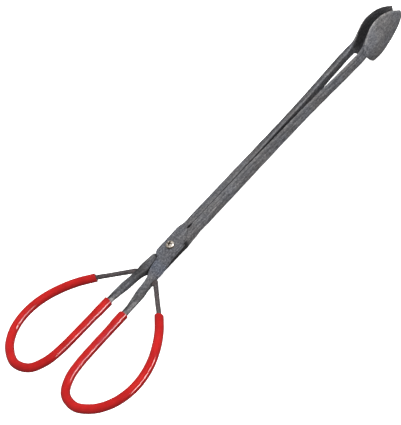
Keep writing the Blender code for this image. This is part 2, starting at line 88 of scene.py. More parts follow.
def make_camera():
    back = toward(CAMERA_AZIMUTH, CAMERA_ELEVATION)
    level_right = Vector((math.cos(CAMERA_AZIMUTH), math.sin(CAMERA_AZIMUTH), 0.0))
    level_up = back.cross(level_right)
    up = level_up * math.cos(CAMERA_ROLL) + level_right * math.sin(CAMERA_ROLL)
    right = up.cross(back)
    turn = Matrix((right, up, back)).transposed().to_4x4()
    data = bpy.data.cameras.new("camera")
    data.lens = CAMERA_LENS
    data.sensor_width = 36.0
    data.clip_end = 20.0
    camera = new_object("camera", data)
    spot = PIVOT + (CAMERA_AIM + back * CAMERA_DISTANCE) * MM
    camera.matrix_world = Matrix.Translation(spot) @ turn
    bpy.context.scene.camera = camera


def area_light(name, azimuth, elevation, distance_m, size_m, watts, colour, unseen_in):
    """A soft lamp facing the pivot, left out of diffuse or glossy light as unseen_in says."""
    data = bpy.data.lights.new(name, "AREA")
    data.shape = "RECTANGLE"
    data.size, data.size_y = size_m
    data.energy = watts
    data.color = colour
    lamp = new_object(name, data)
    back = toward(math.radians(azimuth), math.radians(elevation))
    lamp.location = PIVOT + back * distance_m
    lamp.rotation_mode = "QUATERNION"
    lamp.rotation_quaternion = back.to_track_quat("Z", "Y")
    setattr(lamp, "visible_" + unseen_in, False)
    return lamp


def shine_only_on(lamps, name, pieces):
    """Light linking: the lamps reach nothing but these pieces."""
    receivers = bpy.data.collections.new(name)
    for piece in pieces:
        receivers.objects.link(piece)
    for lamp in lamps:
        lamp.light_linking.receiver_collection = receivers


# The room's brightness above the horizon, in diffuse light and in reflections, and below it.
ROOM_LIGHT = 0.66
ROOM_IN_GLOSS = 0.32
FROM_BELOW = 0.27
HORIZON = (-0.12, 0.06)


def make_room():
    """A white room above a dimmer table.  Reflections see it darker, as black cards beside
    the object would make it, and the table's light comes from here, not from the floor."""
    world = bpy.data.worlds.new("soft_room")
    bpy.context.scene.world = world
    world.use_nodes = True
    nodes = world.node_tree.nodes
    links = world.node_tree.links
    backdrop = nodes["Background"]
    backdrop.inputs["Color"].default_value = (1.0, 1.0, 1.0, 1.0)
    ray = nodes.new("ShaderNodeLightPath")
    above = nodes.new("ShaderNodeMapRange")
    above.inputs["To Min"].default_value = ROOM_LIGHT
    above.inputs["To Max"].default_value = ROOM_IN_GLOSS
    links.new(ray.outputs["Is Glossy Ray"], above.inputs["Value"])
    heading = nodes.new("ShaderNodeSeparateXYZ")
    links.new(nodes.new("ShaderNodeTexCoord").outputs["Generated"], heading.inputs["Vector"])
    room = nodes.new("ShaderNodeMapRange")
    room.inputs["From Min"].default_value = HORIZON[0]
    room.inputs["From Max"].default_value = HORIZON[1]
    room.inputs["To Min"].default_value = FROM_BELOW
    links.new(heading.outputs["Z"], room.inputs["Value"])
    links.new(above.outputs["Result"], room.inputs["To Max"])
    links.new(room.outputs["Result"], backdrop.inputs["Strength"])
    bpy.context.scene.view_settings.view_transform = "Standard"


FLOOR_REACH_M = 6.0
FLOOR_HEIGHT_M = -0.0003


def make_floor(material):
    """A white floor just below the tongs that neither lights them nor shows in their gloss."""
    corners = [(x * FLOOR_REACH_M, y * FLOOR_REACH_M, FLOOR_HEIGHT_M)
               for x, y in ((-1, -1), (1, -1), (1, 1), (-1, 1))]
    mesh = bpy.data.meshes.new("floor")
    mesh.from_pydata(corners, [], [(0, 1, 2, 3)])
    mesh.materials.append(material)
    floor = new_object("floor", mesh)
    floor.visible_diffuse = False
    floor.visible_glossy = False


# ---------------------------------------------------------------- node materials

class Finish:
    """A procedural material being put together round one Principled shader."""

    def __init__(self, name):
        self.material = bpy.data.materials.new(name)
        self.material.use_nodes = True
        self.tree = self.material.node_tree
        self.surface = self.tree.nodes["Principled BSDF"]
        self.place = self.add("ShaderNodeTexCoord").outputs["Object"]

    def add(self, kind, **settings):
        made = self.tree.nodes.new(kind)
        for key, value in settings.items():
            setattr(made, key, value)
        return made

    def feed(self, socket, value):
        """Link an output to a socket, or set a plain value on it."""
        if isinstance(value, bpy.types.NodeSocket):
            self.tree.links.new(value, socket)
        else:
            socket.default_value = value

    def set(self, **values):
        for key, value in values.items():
            self.feed(self.surface.inputs[key.replace("_", " ")], value)

    def noise(self, size, detail=4.0, rough=0.55, stretch=(1.0, 1.0, 1.0), warp=0.0):
        """Fractal noise whose blotches are about size millimetres across."""
        mapping = self.add("ShaderNodeMapping")
        mapping.inputs["Scale"].default_value = stretch
        self.feed(mapping.inputs["Vector"], self.place)
        made = self.add("ShaderNodeTexNoise")
        self.feed(made.inputs["Vector"], mapping.outputs["Vector"])
        made.inputs["Scale"].default_value = 1.0 / (size * MM)
        made.inputs["Detail"].default_value = detail
        made.inputs["Roughness"].default_value = rough
        made.inputs["Distortion"].default_value = warp
        return made.outputs["Fac"]

    def pits(self, size):
        """Distance to scattered points about size millimetres apart."""
        made = self.add("ShaderNodeTexVoronoi")
        self.feed(made.inputs["Vector"], self.place)
        made.inputs["Scale"].default_value = 1.0 / (size * MM)
        return made.outputs["Distance"]

    def ramp(self, value, *stops):
        """A colour read off between (position, colour) stops."""
        made = self.add("ShaderNodeValToRGB")
        points = made.color_ramp.elements
        while len(points) < len(stops):
            points.new(0.5)
        for point, (position, colour) in zip(points, stops):
            point.position = position
            point.color = (*colour, 1.0)
        self.feed(made.inputs["Fac"], value)
        return made.outputs["Color"]

    def rescale(self, value, low, high, new_low, new_high):
        made = self.add("ShaderNodeMapRange")
        self.feed(made.inputs["Value"], value)
        for key, number in (("From Min", low), ("From Max", high),
                            ("To Min", new_low), ("To Max", new_high)):
            made.inputs[key].default_value = number
        return made.outputs["Result"]

    def sum(self, operation, first, second):
        made = self.add("ShaderNodeMath", operation=operation)
        self.feed(made.inputs[0], first)
        self.feed(made.inputs[1], second)
        return made.outputs["Value"]

    def total(self, *terms):
        """The sum of (weight, value) pairs, each value times its weight."""
        (weight, value), *rest = terms
        weighted = self.sum("MULTIPLY", value, weight)
        return self.sum("ADD", weighted, self.total(*rest)) if rest else weighted

    def mix(self, share, first, second, blend="MIX"):
        made = self.add("ShaderNodeMix", data_type="RGBA", blend_type=blend)
        self.feed(made.inputs[0], share)
        for socket, value in ((made.inputs[6], first), (made.inputs[7], second)):
            self.feed(socket, (*value, 1.0) if isinstance(value, tuple) else value)
        return made.outputs[2]

    def share(self, name):
        """A value from 0 to 1 that the mesh carries at each point."""
        return self.add("ShaderNodeAttribute", attribute_name=name).outputs["Fac"]

    def bump(self, height, depth, strength=1.0, under=None):
        """Relief depth millimetres deep, on top of another bump if there is one."""
        made = self.add("ShaderNodeBump")
        made.inputs["Strength"].default_value = strength
        made.inputs["Distance"].default_value = depth * MM
        self.feed(made.inputs["Height"], height)
        if under is not None:
            self.feed(made.inputs["Normal"], under)
        return made.outputs["Normal"]


HEAT_BROWN = (0.078, 0.056, 0.058)
TEMPER_BLUE = (0.86, 0.97, 1.17)
# Darkened scale and painted shade go to the first colour below, rubbed steel and painted highlights to
# the second.
SOOT_AND_SHADE_BLACK = (0.008, 0.008, 0.009)
BARE_STEEL_AND_HIGHLIGHT = (0.36, 0.35, 0.34)


def steel_finish(name, dark, middle, light, grain, metallic, rough):
    """Hot-worked steel with its scale on: blotched, pitted, tinted by heat and rubbed, with painted shade
    and painted highlights from the mesh's shares.
    """
    made = Finish(name)
    blotches = made.noise(7.0, 6.0, 0.62, warp=0.4)
    broad = made.noise(24.0, 2.0)
    fine = made.noise(0.9, 4.0, 0.6)
    drawn = made.noise(1.7, 3.0, 0.6, stretch=(1.0, 0.09, 1.0))
    speckle = made.noise(1.7, 2.0, 0.6)
    tone = made.total((0.12, blotches), (0.44, speckle), (0.18, fine), (0.26, drawn))
    colour = made.ramp(tone, (0.40, dark), (0.50, middle), (0.60, light))
    cast = made.ramp(broad, (0.38, (0.96, 0.99, 1.05)), (0.52, (1.0, 1.0, 1.0)),
                     (0.64, (1.03, 1.0, 0.97)))
    colour = made.mix(1.0, colour, cast, "MULTIPLY")
    heat = made.sum("MULTIPLY", made.share("heat"), made.rescale(blotches, 0.3, 0.7, 0.55, 1.1))
    colour = made.mix(heat, colour, HEAT_BROWN)
    colour = made.mix(made.share("blue"), colour, TEMPER_BLUE, "MULTIPLY")
    # The mesh's dark share blackens the colour, in places as painted shade.
    colour = made.mix(made.share("soot_and_shade"), colour, SOOT_AND_SHADE_BLACK)
    scratch = made.rescale(made.noise(1.3, 3.0, 0.6, stretch=(1.0, 0.35, 1.0)), 0.40, 0.60, 0.10, 1.0)
    # The mesh's bright share takes the colour to bare steel, in places as a painted highlight.
    wear_and_highlight = made.sum("MULTIPLY", made.share("wear_and_highlight"), scratch)
    colour = made.mix(wear_and_highlight, colour, BARE_STEEL_AND_HIGHLIGHT)
    made.set(Base_Color=colour)
    soot_and_shade_roughening = made.sum("MULTIPLY", made.share("soot_and_shade"), 0.35)
    scaly = made.sum("ADD", made.rescale(tone, 0.38, 0.70, rough + 0.10, rough - 0.07), soot_and_shade_roughening)
    made.set(Roughness=made.sum("SUBTRACT", scaly, made.sum("MULTIPLY", wear_and_highlight, 0.08)))
    # Where the dark share lies, painted shade included, the metal is taken away.
    clean = made.sum("SUBTRACT", 1.0, made.share("soot_and_shade"))
    shiny = made.sum("MAXIMUM", made.sum("MULTIPLY", wear_and_highlight, 0.7), metallic)
    made.set(Metallic=made.sum("MULTIPLY", shiny, clean))
    coarse = made.bump(made.rescale(made.pits(2.6), 0.0, 0.42, 0.0, 1.0), 0.06 * grain, 0.8)
    mottled = made.bump(blotches, 0.35 * grain, 0.7, coarse)
    made.set(Normal=made.bump(fine, 0.07 * grain, 0.8, mottled))
    return made.material


def sleeve_finish():
    """Glossy red PVC tube: faint clouding, shallow waves along it, and a few scuffs."""
    made = Finish("sleeve_pvc")
    cloud = made.noise(16.0, 3.0)
    skin = made.noise(1.1, 2.0)
    scuff = made.rescale(made.noise(1.4, 5.0, 0.7, stretch=(1.0, 0.35, 1.0)), 0.60, 0.72, 0.0, 1.0)
    colour = made.ramp(cloud, (0.32, (0.255, 0.0050, 0.0048)), (0.50, (0.295, 0.0060, 0.0058)),
                       (0.68, (0.340, 0.0085, 0.0080)))
    colour = made.mix(made.sum("MULTIPLY", scuff, 0.16), colour, (0.50, 0.09, 0.08))
    colour = made.mix(made.sum("MULTIPLY", made.share("mouth"), 0.35), colour, (0.20, 0.007, 0.009))
    made.set(Base_Color=colour)
    made.set(Roughness=made.sum("ADD", made.rescale(skin, 0.3, 0.7, 0.05, 0.08),
                                made.sum("MULTIPLY", scuff, 0.10)))
    made.surface.inputs["IOR"].default_value = 1.45
    made.surface.inputs["Specular IOR Level"].default_value = 0.42
    waves = made.bump(made.noise(11.0, 1.0), 0.12, 0.5)
    made.set(Normal=made.bump(skin, 0.006, 0.5, waves))
    return made.material


def plated_finish():
    """Bright plating, warm where it is rubbed, with fine scratches, and dirt with painted shade in
    corners.
    """
    made = Finish("bright_plating")
    cloud = made.noise(1.8, 3.0)
    scratches = made.noise(0.35, 3.0, 0.6, stretch=(1.0, 0.15, 0.6))
    colour = made.ramp(cloud, (0.38, (0.36, 0.28, 0.20)), (0.52, (0.70, 0.62, 0.53)),
                       (0.62, (0.92, 0.87, 0.80)))
    # The mesh's dark share darkens the recess and corners, as dirt and as painted shade.
    dirt_and_shade = made.sum("MULTIPLY", made.share("soot_and_shade"), made.rescale(cloud, 0.3, 0.7, 0.8, 1.1))
    colour = made.mix(dirt_and_shade, colour, (0.045, 0.030, 0.020))
    made.set(Base_Color=colour, Metallic=made.rescale(cloud, 0.35, 0.65, 0.85, 0.60))
    made.set(Roughness=made.sum("ADD", made.rescale(scratches, 0.3, 0.7, 0.16, 0.30),
                                made.sum("MULTIPLY", dirt_and_shade, 0.3)))
    made.set(Normal=made.bump(scratches, 0.012, 0.6))
    return made.material


def floor_finish():
    """Matt white paper with the least unevenness, glowing faintly so that no shadow shows."""
    made = Finish("white_paper")
    tone = made.noise(60.0, 3.0)
    made.set(Base_Color=made.ramp(tone, (0.3, (0.905, 0.905, 0.905)), (0.7, (0.925, 0.925, 0.925))))
    made.set(Roughness=0.9)
    made.surface.inputs["Specular IOR Level"].default_value = 0.1
    made.set(Normal=made.bump(made.noise(0.8, 2.0), 0.02, 0.3))
    made.set(Emission_Color=(1.0, 1.0, 1.0, 1.0), Emission_Strength=0.62)
    return made.material


# ---------------------------------------------------------------- meshes

MERGE_DISTANCE = 0.0004


def mesh_from_rings(name, rings, closed=False):
    """A skin over rings of points.  Ends are capped, or joined when closed."""
    count = len(rings[0])
    points = [point for ring in rings for point in ring]
    faces = []
    pairs = list(range(len(rings) - 1)) + ([len(rings) - 1] if closed else [])
    for row in pairs:
        here = row * count
        there = (row + 1) % len(rings) * count
        for index in range(count):
            following = (index + 1) % count
            faces.append((here + index, here + following, there + following, there + index))
    if not closed:
        faces.append(tuple(reversed(range(count))))
        faces.append(tuple(range(len(points) - count, len(points))))
    mesh = bpy.data.meshes.new(name)
    mesh.from_pydata(points, [], faces)
    clean = bmesh.new()
    clean.from_mesh(mesh)
    bmesh.ops.remove_doubles(clean, verts=clean.verts, dist=MERGE_DISTANCE)
    bmesh.ops.recalc_face_normals(clean, faces=clean.faces)
    clean.to_mesh(mesh)
    clean.free()
    return mesh


def boolean(mesh, cutter):
    """The mesh with the cutter taken out of it, as a new mesh."""
    body = new_object("cut_body", mesh)
    tool = new_object("cut_tool", cutter)
    step = body.modifiers.new("cut", "BOOLEAN")
    step.operation = "DIFFERENCE"
    step.solver = "EXACT"
    step.object = tool
    bpy.context.view_layer.update()
    done = body.evaluated_get(bpy.context.evaluated_depsgraph_get())
    result = bpy.data.meshes.new_from_object(done)
    for item in (body, tool):
        bpy.data.objects.remove(item, do_unlink=True)
    return result


def shape_and_tint(mesh, relief, tint, turned_over):
    """Push points along their normals, store their tints, and put the mesh in place.

    relief(point, normal) gives millimetres, and tint(point, normal) a dictionary of
    shares, both read in the upper arm's frame.
    """
    spots = [vert.co.copy() for vert in mesh.vertices]
    normals = [vert.normal.copy() for vert in mesh.vertices]
    tints = [tint(spot, normal) for spot, normal in zip(spots, normals)]
    for key in tints[0]:
        layer = mesh.attributes.new(key, "FLOAT", "POINT")
        layer.data.foreach_set("value", [min(max(item[key], 0.0), 1.0) for item in tints])
    for vert, spot, normal in zip(mesh.vertices, spots, normals):
        moved = spot + normal * relief(spot, normal)
        if turned_over:
            moved = Vector((-moved.x, moved.y, -moved.z))
        vert.co = PIVOT + moved * MM
    mesh.update()


def put(name, mesh, material, body, node, sharp=50.0):
    """Show a finished mesh in place of a CAD node, on that node's body; returns the piece."""
    mesh.name = name
    mesh.shade_smooth()
    mesh.set_sharp_from_angle(angle=math.radians(sharp))
    mesh.materials.clear()
    mesh.materials.append(material)
    made = new_object(name, mesh)
    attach(made, body)
    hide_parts(node)
    return made


# ---------------------------------------------------------------- arm forging

BOSS_THICKNESS = 3.8
BOSS_HALF_WIDTH = 9.3
BORE_RADIUS = 2.15
REIN_WIDTH_AT_JAW = 6.4
REIN_HALF_HEIGHT = 4.0
GAP = 0.3
JAW_START = 259.0
JAW_TIP = 325.4
JAW_GAP = 4.9
JAW_WALL = 1.4
JAW_DEPTH = 5.6
TIP_ROUND = 0.45
TANG_END = -80.8
TANG_RADIUS = 2.9
TANG_X = 11.4
BOSS_START = -36.0
REIN_START = 28.0

REIN_GAP = [(28.0, 0.2), (92.0, 0.2), (112.0, 0.4), (140.0, 0.95), (175.0, 1.5), (203.0, 2.4),
            (226.0, 3.4), (249.0, 4.3), (276.0, JAW_GAP)]
REIN_OUTSIDE = [(28.0, 7.7), (40.0, 8.0), (140.0, 7.8), (175.0, 8.1), (203.0, 8.95),
                (226.0, 9.9), (249.0, 10.75), (JAW_START, 10.95)]
TANG_SIDE = [(TANG_END, TANG_X + TANG_RADIUS), (-70.0, 14.2), (-60.0, 13.9), (-50.0, 13.3),
             (-42.0, 11.9)]
UPPER_FLANK = [(-35.0, 11.6), (-28.0, 12.9), (-23.0, 12.5), (-16.0, 11.0)]
LOWER_FLANK = [(-35.0, 11.4), (-28.0, 11.8), (-23.0, 11.6), (-16.0, 10.8)]
BOSS_SIDE = [(-10.0, 9.8), (0.0, 9.1), (8.0, 8.6), (12.0, 7.3), (16.5, 4.9), (20.0, 1.9),
             (22.5, -0.7), (24.3, -1.0), (28.0, -0.2)]
CROTCH_SIDE = [(TANG_END, TANG_X - TANG_RADIUS), (-70.0, 8.4), (-60.0, 7.0),
               (-50.0, 5.4), (-42.0, 4.7), (-35.0, 3.6), (-30.5, 1.5)]
UPPER_HEEL = [(-27.0, 0.2), (-21.0, -1.3), (-15.2, -3.0), (-13.6, -5.2), (-12.0, -7.6),
              (-8.0, -BOSS_HALF_WIDTH)]
LOWER_HEEL = [(-28.4, -0.6), (-27.2, -4.2), (-26.0, -7.4), (-22.0, -8.9),
              (-12.0, -BOSS_HALF_WIDTH)]
UPPER_SHOULDER = [(18.0, -BOSS_HALF_WIDTH), (24.0, -7.9), (28.0, -7.7)]
LOWER_SHOULDER = [(8.0, -BOSS_HALF_WIDTH), (17.0, -8.5), (28.0, -7.7)]
UPPER_UNDERSIDE = [(-60.0, -3.0), (-40.0, -2.8), (-33.5, -2.0), (-30.0, GAP / 2.0),
                   (3.0, GAP / 2.0), (5.0, -BOSS_THICKNESS), (18.0, -BOSS_THICKNESS),
                   (30.0, -REIN_HALF_HEIGHT)]
LOWER_UNDERSIDE = [(-60.0, -3.0), (-40.0, -2.8), (-30.0, -2.3), (-12.0, -2.1), (-8.0, GAP / 2.0),
                   (3.0, GAP / 2.0), (5.0, -BOSS_THICKNESS), (18.0, -BOSS_THICKNESS),
                   (30.0, -REIN_HALF_HEIGHT)]
TOPSIDE = [(-60.0, 3.0), (-40.0, 3.1), (-28.0, BOSS_THICKNESS), (18.0, BOSS_THICKNESS),
           (24.0, 3.9), (30.0, REIN_HALF_HEIGHT)]
EDGE = [(TANG_END, TANG_RADIUS * 0.98), (-68.0, 2.6), (-55.0, 1.9), (-36.0, 1.1), (-28.0, 0.7),
        (2.0, 0.7), (8.0, 0.4), (22.0, 0.4), (30.0, 0.9), (JAW_START, 0.9), (272.0, 0.6)]

# How each lap's recess ends on the loop side: straight across, or along the other heel,
# from which it draws away towards the crotch.
LAP_GAP = 0.3
LAP_FACE = 0.17
LAP_CUTTER_BOTTOM = -20.0
UPPER_LAP_FOOT = [(20.0, 2.0), (-14.0, 2.0)]
LOWER_LAP_FOOT = [(20.0, -13.0), (8.0, -12.4), (5.7, -14.1), (3.6, -15.8), (2.9, -18.4),
                  (2.4, -21.4), (2.1, -24.4), (1.6, -27.4), (1.2, -30.0), (-14.0, -30.0)]
SQUARE_SHOULDER = [(JAW_START, REIN_HALF_HEIGHT), (264.0, 4.6), (268.0, 8.6), (272.0, 15.6),
                   (275.5, 18.8), (283.0, 20.0), (291.0, 19.6), (299.0, 18.1), (307.0, 15.8),
                   (314.0, 12.9), (319.0, 10.2), (323.0, 7.2), (JAW_TIP, 4.6)]
SLOPED_SHOULDER = [(JAW_START, REIN_HALF_HEIGHT), (265.0, 5.2), (270.0, 7.8), (275.0, 11.4),
                   (279.0, 14.4), (283.0, 16.5), (290.0, 18.2), (297.0, 17.8), (305.0, 15.7),
                   (312.0, 12.5), (317.5, 9.1), (322.0, 5.7), (JAW_TIP, 3.1)]
JAW_THICKNESS = [(JAW_START, REIN_WIDTH_AT_JAW), (265.0, 4.6), (271.0, 2.4), (279.0, JAW_WALL)]
JAW_BOW = [(JAW_START, 0.0), (264.0, 1.4), (271.0, 3.8), (284.0, JAW_DEPTH), (296.0, 5.2),
           (309.0, 3.5), (318.0, 1.6), (JAW_TIP, 0.5)]
UPPER_FORM = {"side": TANG_SIDE + UPPER_FLANK + BOSS_SIDE, "heel": UPPER_HEEL,
              "shoulder": UPPER_SHOULDER, "underside": UPPER_UNDERSIDE,
              "lap_foot": UPPER_LAP_FOOT, "low_edge": SQUARE_SHOULDER,
              "high_edge": SLOPED_SHOULDER, "jaw_stretch": 1.035, "seed": UPPER_SEED}
LOWER_FORM = {"side": TANG_SIDE + LOWER_FLANK + BOSS_SIDE, "heel": LOWER_HEEL,
              "shoulder": LOWER_SHOULDER, "underside": LOWER_UNDERSIDE,
              "lap_foot": LOWER_LAP_FOOT, "low_edge": SLOPED_SHOULDER,
              "high_edge": SQUARE_SHOULDER, "jaw_stretch": 1.0, "seed": LOWER_SEED}
BLOW_DEPTH, SWAY_DEPTH, DRAG_DEPTH = 0.17, 0.16, 0.06
FOLD_DEPTH, FOLD_SPACING, FOLD_MIDDLE = 0.62, 3.9, 272.5
LIP_GRIND_DEPTH = 0.50
BOSS_GROOVE_DEPTH = 1.7
CORNER_STEPS = 4
SIDE_STEPS = 30
FLAT_STEPS = 10


def blend(stations, y):
    """Read a value at y from (y, value) stations, easing between them without overshoot."""
    if y <= stations[0][0]:
        return stations[0][1]
    if y >= stations[-1][0]:
        return stations[-1][1]
    index = next(i for i in range(len(stations) - 1) if y <= stations[i + 1][0])

    def rise(i):
        return (stations[i + 1][1] - stations[i][1]) / (stations[i + 1][0] - stations[i][0])

    def slope(i):
        if i == 0:
            return rise(0)
        if i == len(stations) - 1:
            return rise(i - 1)
        before, after = rise(i - 1), rise(i)
        return 2.0 * before * after / (before + after) if before * after > 0.0 else 0.0

    (start_y, start), (end_y, end) = stations[index], stations[index + 1]
    span = end_y - start_y
    t = (y - start_y) / span
    return ((1.0 + 2.0 * t) * (1.0 - t) ** 2 * start + t * (1.0 - t) ** 2 * span * slope(index)
            + t * t * (3.0 - 2.0 * t) * end + t * t * (t - 1.0) * span * slope(index + 1))


def arm_section(y, form):
    """The upper arm's cross-section at y: left, right, low, high, edge radius and bow."""
    edge = blend(EDGE, y)
    if y < REIN_START:
        return (blend(CROTCH_SIDE + form["heel"] + form["shoulder"], y),
                blend(form["side"], y),
                blend(form["underside"], y), blend(TOPSIDE, y), edge, 0.0)
    inner = -blend(REIN_GAP, y)
    if y < JAW_START:
        return (-blend(REIN_OUTSIDE, y), inner, blend(form["underside"], y),
                blend(TOPSIDE, y), edge, 0.0)
    left = inner - blend(JAW_THICKNESS, y)
    low, high = -blend(form["low_edge"], y), blend(form["high_edge"], y)
    if y > JAW_TIP - TIP_ROUND:
        closing = (y - JAW_TIP + TIP_ROUND) / TIP_ROUND
        inset = TIP_ROUND * (1.0 - math.sqrt(max(0.0, 1.0 - closing * closing)))
        return left + inset, inner - inset, low + inset, high - inset, edge, blend(JAW_BOW, y)
    return left, inner, low, high, edge, blend(JAW_BOW, y)


def section_ring(y, form):
    """Points round the cross-section at y: a rectangle with round corners, bowed to -X."""
    left, right, low, high, edge, bow = arm_section(y, form)
    place_y = y if y < JAW_START else JAW_START + (y - JAW_START) * form["jaw_stretch"]
    edge = min(edge, 0.49 * (right - left), 0.49 * (high - low))
    middle = (low + high) / 2.0
    half = (high - low) / 2.0
    corners = [(right - edge, low + edge, -90.0), (right - edge, high - edge, 0.0),
               (left + edge, high - edge, 90.0), (left + edge, low + edge, 180.0)]
    ring = []
    for index, (x, z, start) in enumerate(corners):
        for step in range(CORNER_STEPS + 1):
            angle = math.radians(start + 90.0 * step / CORNER_STEPS)
            ring.append((x + edge * math.cos(angle), z + edge * math.sin(angle)))
        next_x, next_z, next_start = corners[(index + 1) % 4]
        angle = math.radians(next_start)
        end = (next_x + edge * math.cos(angle), next_z + edge * math.sin(angle))
        begin = ring[-1]
        steps = SIDE_STEPS if index % 2 == 0 else FLAT_STEPS
        for step in range(1, steps):
            t = step / steps
            ring.append((begin[0] + (end[0] - begin[0]) * t, begin[1] + (end[1] - begin[1]) * t))
    bowed = []
    for x, z in ring:
        across = (z - middle) / half
        bowed.append(Vector((x - bow * (1.0 - across * across), place_y, z)))
    return bowed


def arm_stations():
    """Where along the arm a cross-section is taken: closer together where it changes."""
    spacing = [(TANG_END, -40.0, 34), (-40.0, 30.0, 100), (30.0, JAW_START, 190),
               (JAW_START, 290.0, 44), (290.0, JAW_TIP - TIP_ROUND, 40),
               (JAW_TIP - TIP_ROUND, JAW_TIP, 4)]
    stations = [TANG_END]
    for start, end, steps in spacing:
        stations += [start + (end - start) * step / steps for step in range(1, steps + 1)]
    return stations


def jaw_place(spot, form):
    """For a point on the jaw: its station, and how far it is from the rim and the tip."""
    y = JAW_START + (spot.y - JAW_START) / form["jaw_stretch"]
    low, high = -blend(form["low_edge"], y), blend(form["high_edge"], y)
    return y, min(high - spot.z, spot.z - low), JAW_TIP - y


def hammered(where):
    """Depth of hammer blows, of the slow sway of hand forging and of its fine drag."""
    cell = noise.voronoi(Vector((where.x / 8.0, where.y / 12.0, where.z / 8.0)))[0][0]
    blow = max(0.0, 1.0 - 1.7 * cell * cell)
    sway = 0.5 + 0.5 * noise.noise(where / 21.0)
    drag = 0.5 + 0.5 * noise.noise(where / 3.4)
    return BLOW_DEPTH * blow + SWAY_DEPTH * sway + DRAG_DEPTH * drag


def jaw_folds(where, spot, form):
    """Depth of the folds across the jaw's neck and of the ground strip behind its lip."""
    y, rim, tip = jaw_place(spot, form)
    along = y + 0.10 * spot.z + 1.5 * noise.noise(where / 7.0)
    wave = math.sin(along * 2.0 * math.pi / FOLD_SPACING)
    fold = bell(y, FOLD_MIDDLE, 6.5) * (0.55 + 0.45 * noise.noise(where / 6.0))
    lip = 1.0 - smoothstep(0.6, 3.0, min(rim, 0.8 * tip))
    return (FOLD_DEPTH * fold * (0.5 + 0.5 * wave) * smoothstep(0.0, 2.0, rim)
            + LIP_GRIND_DEPTH * lip * smoothstep(290.0, 302.0, y))


def forged_relief(form):
    """How deep below the plain form each point of an arm lies, as a function of the point."""

    def relief(spot, normal):
        where = spot + form["seed"]
        depth = hammered(where)
        if spot.y > JAW_START:
            station = jaw_place(spot, form)[0]
            depth *= 1.0 - 0.35 * smoothstep(262.0, 272.0, station)
            if normal.x < -0.2:
                depth += jaw_folds(where, spot, form)
        elif spot.y < 24.0:
            off_lap_face = smoothstep(0.2, 1.1, abs(spot.z))
            off_bore = smoothstep(2.6, 6.0, math.hypot(spot.x, spot.y))
            depth *= 0.85 * off_lap_face * off_bore
            if spot.y > 7.0:
                depth *= 0.35
        if 20.0 < spot.y < 150.0 and normal.x > 0.5:
            depth *= 0.15 + 0.85 * smoothstep(95.0, 145.0, spot.y)
        if form is LOWER_FORM and normal.x < -0.6:
            depth += (BOSS_GROOVE_DEPTH
                      * smoothstep(3.2, 2.4, spot.z) * smoothstep(0.1, 0.5, spot.z)
                      * smoothstep(-29.0, -25.0, spot.y) * smoothstep(12.0, 3.0, spot.y))
        if spot.y < -68.0:
            depth *= 0.3
        return -depth

    return relief


def heel_seam(y):
    """Where the lower arm's surface ends beside the upper arm's heel."""
    return blend([(y, x) for x, y in reversed(LOWER_LAP_FOOT[1:-1])], y)


def from_weld(spot):
    """How far a point is from the middle of the return weld."""
    return Vector((spot.x - WELD_SPOT[0], spot.y - WELD_SPOT[1], spot.z)).length


def jaw_tint(form, side, spot, normal, patchy):
    """A spoon's shares: a rim rubbed bright with a painted highlight along its edge, darkening
    in the hollow that is partly painted shade, painted shade in the crease behind the lip,
    browning round the edge, and darker and browner towards the bottom of its back."""
    y, rim, tip = jaw_place(spot, form)
    edge = 1.0 - smoothstep(0.2, 1.0, min(rim, tip))
    # The rim's edge is brightened, partly rubbed and partly a painted highlight.
    wear_and_highlight = max((0.35 + 0.60 * patchy) * edge * smoothstep(266.0, 276.0, y),
               0.10 * smoothstep(-0.1, -0.5, normal.x))
    # Darkening in the hollow is partly painted shade; in the crease behind the lip it is painted shade;
    # the back darkens towards its bottom.
    hollow = smoothstep(0.1, 0.6, normal.x) * smoothstep(260.0, 268.0, y)
    crease = bell(min(rim, 0.8 * tip), 3.0, 0.7) * smoothstep(292.0, 302.0, y)
    back = smoothstep(-0.2, -0.6, normal.x)
    low_side = smoothstep(-2.0, -15.0, side * spot.z) * back
    soot_and_shade = max(hollow * (0.12 + 0.55 * smoothstep(2.0, 15.0, rim)) * (1.0 - edge),
               0.35 * crease * back, 0.22 * low_side)
    heat = max(0.45 * (1.0 - smoothstep(1.0, 7.0, rim)) * (0.3 + 0.7 * patchy),
               0.8 * low_side)
    return wear_and_highlight, heat, soot_and_shade


def rein_tint(turned_over, spot, normal, top, patchy):
    """A rein's shares: its top is lighter beside the slot and darker further out, and the
    slot's sides and edges carry painted shade."""
    from_slot = -blend(REIN_GAP, spot.y) - spot.x
    rubbed = 0.30 if turned_over else 0.14
    wear_and_highlight = rubbed * top * (1.0 - smoothstep(0.8, 4.2, from_slot)) * (0.4 + 0.6 * patchy)
    if turned_over:
        band = 0.72 * smoothstep(2.8, 4.8, from_slot) * smoothstep(60.0, 130.0, spot.y)
    else:
        band = max(0.72 * smoothstep(1.2, 3.6, from_slot) * smoothstep(100.0, 128.0, spot.y),
                   0.40 * bell(spot.y, 50.0, 20.0))
    # Painted shade on the slot's sides and along its edges, in the gap between the reins.
    slot_side = 0.45 * smoothstep(0.5, 0.9, normal.x) * smoothstep(34.0, 60.0, spot.y)
    slot_edge = 0.80 * smoothstep(0.9, 0.3, from_slot) * smoothstep(48.0, 72.0, spot.y)
    soot_and_shade = max(slot_side, band * top * (0.6 + 0.4 * patchy),
               slot_edge * smoothstep(205.0, 160.0, spot.y))
    return wear_and_highlight, soot_and_shade


